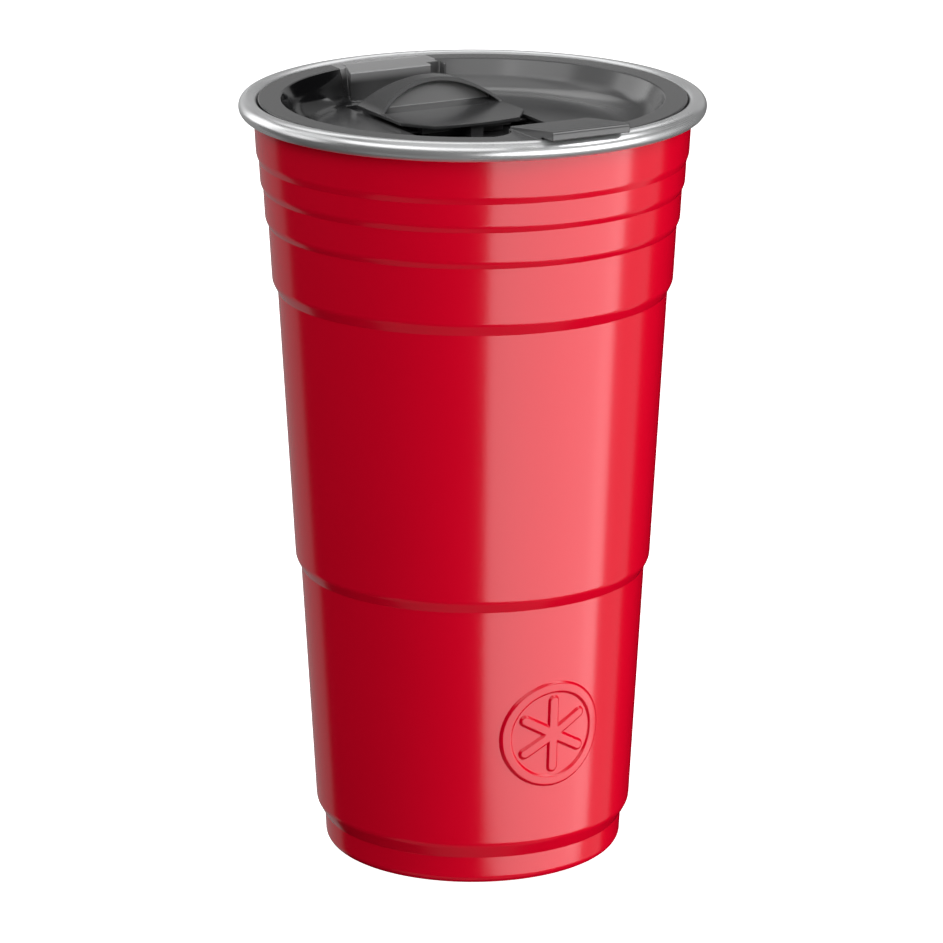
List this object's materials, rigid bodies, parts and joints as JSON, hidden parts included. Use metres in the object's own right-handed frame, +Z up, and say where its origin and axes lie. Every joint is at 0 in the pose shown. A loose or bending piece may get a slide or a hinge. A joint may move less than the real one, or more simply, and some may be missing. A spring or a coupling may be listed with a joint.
{
  "type": "tumbler cup with lid",
  "caption": "Double-walled steel tumbler shaped like a stepped party cup, with a rolled rim and a press-in plastic lid that has a sliding closure and a pull tab.",
  "frame": {"origin": "centre of the foot on the table", "axes": "+Z up along the cup's axis; the drinking side with the pull tab and the emblem faces -Y"},
  "size_m": [0.1036, 0.1046, 0.1762],
  "materials": {
    "shell_paint": "gloss powder coat",
    "bare_steel": "satin",
    "seal_metal": "dull",
    "getter_metal": "dull",
    "lid_plastic": "gloss",
    "slider_plastic": "gloss",
    "soft_seal": "matt"
  },
  "bodies": {
    "cup": {"outer_shell": "shell_paint", "inner_liner": "bare_steel", "base_plate": "bare_steel", "vacuum_seal": "seal_metal", "getter_pad": "getter_metal"},
    "lid": {"lid_body": "lid_plastic", "lid_gasket": "soft_seal"},
    "closure": {"slider": "slider_plastic", "slider_seal": "soft_seal"}
  },
  "joints": [
    {"name": "lid_lift", "type": "slide", "parent": "cup", "child": "lid", "axis": [0, 0, 1], "range_m": [0, 0.025]},
    {"name": "slider_slide", "type": "slide", "parent": "lid", "child": "closure", "axis": [0, -1, 0], "range_m": [0, 0.022]}
  ]
}
